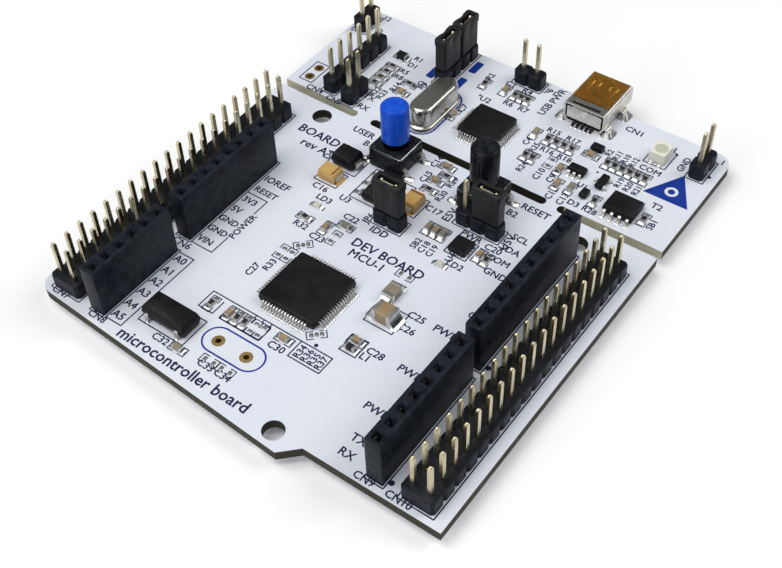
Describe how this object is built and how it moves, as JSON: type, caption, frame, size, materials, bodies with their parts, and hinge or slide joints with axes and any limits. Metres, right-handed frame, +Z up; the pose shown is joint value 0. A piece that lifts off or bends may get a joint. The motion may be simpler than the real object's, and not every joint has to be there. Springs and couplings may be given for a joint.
{
  "type": "microcontroller development board",
  "caption": "White microcontroller board with a snap-off debugger section, pin headers, shield sockets, two push buttons, lift-off jumpers and a mini USB socket.",
  "frame": {"origin": "middle of the bounding box in plan, at the ends of the solder tails", "axes": "+X across the board to the right, +Y towards the USB socket, +Z up out of the component side"},
  "size_m": [0.07, 0.0848, 0.0145],
  "materials": {
    "solder_mask": "white solder mask with a faint lavender tint over glass-epoxy laminate, dark navy print, olive cut edges",
    "black_plastic": "blue-black moulded nylon, fine satin moulding texture",
    "blue_plastic": "glossy blue moulded button",
    "tin_plate": "stamped and tin-plated metal",
    "nickel": "bright nickel-plated sheet metal",
    "chip_epoxy": "fine-grained dark moulding compound",
    "tantalum_case": "orange-yellow moulded capacitor case",
    "ceramic_tan": "tan fired ceramic with tinned ends",
    "lamp_resin": "clear to milky lamp resin",
    "amber_film": "amber heat-resistant film",
    "resistor_black": "dark ferrite body with tinned ends"
  },
  "bodies": {
    "board": {"circuit_board": "solder_mask", "left_pin_header": "black_plastic", "right_pin_header": "black_plastic", "debug_wire_header": "black_plastic", "serial_header": "black_plastic", "target_select_header": "black_plastic", "usb_power_header": "black_plastic", "ground_header_left": "black_plastic", "ground_header_right": "black_plastic", "current_measure_header": "black_plastic", "power_select_header": "black_plastic", "left_front_socket": "black_plastic", "left_back_socket": "black_plastic", "right_front_socket": "black_plastic", "right_back_socket": "black_plastic", "user_switch_base": "black_plastic", "reset_switch_base": "black_plastic", "usb_insert": "black_plastic", "crystal_base": "black_plastic", "user_switch_cover": "tin_plate", "reset_switch_cover": "tin_plate", "user_switch_dome": "nickel", "reset_switch_dome": "nickel", "usb_shell": "nickel", "crystal_can": "nickel", "main_controller": "chip_epoxy", "debug_controller": "chip_epoxy", "supply_regulator": "chip_epoxy", "power_switch_chip": "chip_epoxy", "usb_supply_chip": "chip_epoxy", "usb_enable_transistor": "chip_epoxy", "input_diode": "chip_epoxy", "watch_crystal": "chip_epoxy", "debugger_supply_chip": "chip_epoxy", "clamp_diode": "chip_epoxy", "line_filter_chip": "chip_epoxy", "input_capacitor": "tantalum_case", "output_capacitor": "tantalum_case", "core_capacitor_large": "ceramic_tan", "core_capacitor_small": "ceramic_tan", "link_lamp": "lamp_resin", "user_lamp": "lamp_resin", "power_lamp": "lamp_resin", "usb_top_film": "amber_film", "analog_ferrite": "resistor_black"},
    "user_button": {"user_button": "blue_plastic"},
    "reset_button": {"reset_button": "black_plastic"},
    "target_jumper_front": {"target_jumper_front": "black_plastic", "target_jumper_front_contact": "tin_plate"},
    "target_jumper_back": {"target_jumper_back": "black_plastic", "target_jumper_back_contact": "tin_plate"},
    "current_jumper": {"current_jumper": "black_plastic", "current_jumper_contact": "tin_plate"},
    "power_jumper": {"power_jumper": "black_plastic", "power_jumper_contact": "tin_plate"}
  },
  "joints": [
    {"name": "user_press", "type": "slide", "parent": "board", "child": "user_button", "axis": [0, 0, -1], "range_m": [0, 0.00025], "stiffness_N_per_m": 1000, "springref_m": -0.001},
    {"name": "reset_press", "type": "slide", "parent": "board", "child": "reset_button", "axis": [0, 0, -1], "range_m": [0, 0.00025], "stiffness_N_per_m": 1000, "springref_m": -0.001},
    {"name": "target_jumper_front_lift", "type": "slide", "parent": "board", "child": "target_jumper_front", "axis": [0, 0, 1], "range_m": [0, 0.009]},
    {"name": "target_jumper_back_lift", "type": "slide", "parent": "board", "child": "target_jumper_back", "axis": [0, 0, 1], "range_m": [0, 0.009]},
    {"name": "current_jumper_lift", "type": "slide", "parent": "board", "child": "current_jumper", "axis": [0, 0, 1], "range_m": [0, 0.009]},
    {"name": "power_jumper_lift", "type": "slide", "parent": "board", "child": "power_jumper", "axis": [0, 0, 1], "range_m": [0, 0.009]}
  ]
}
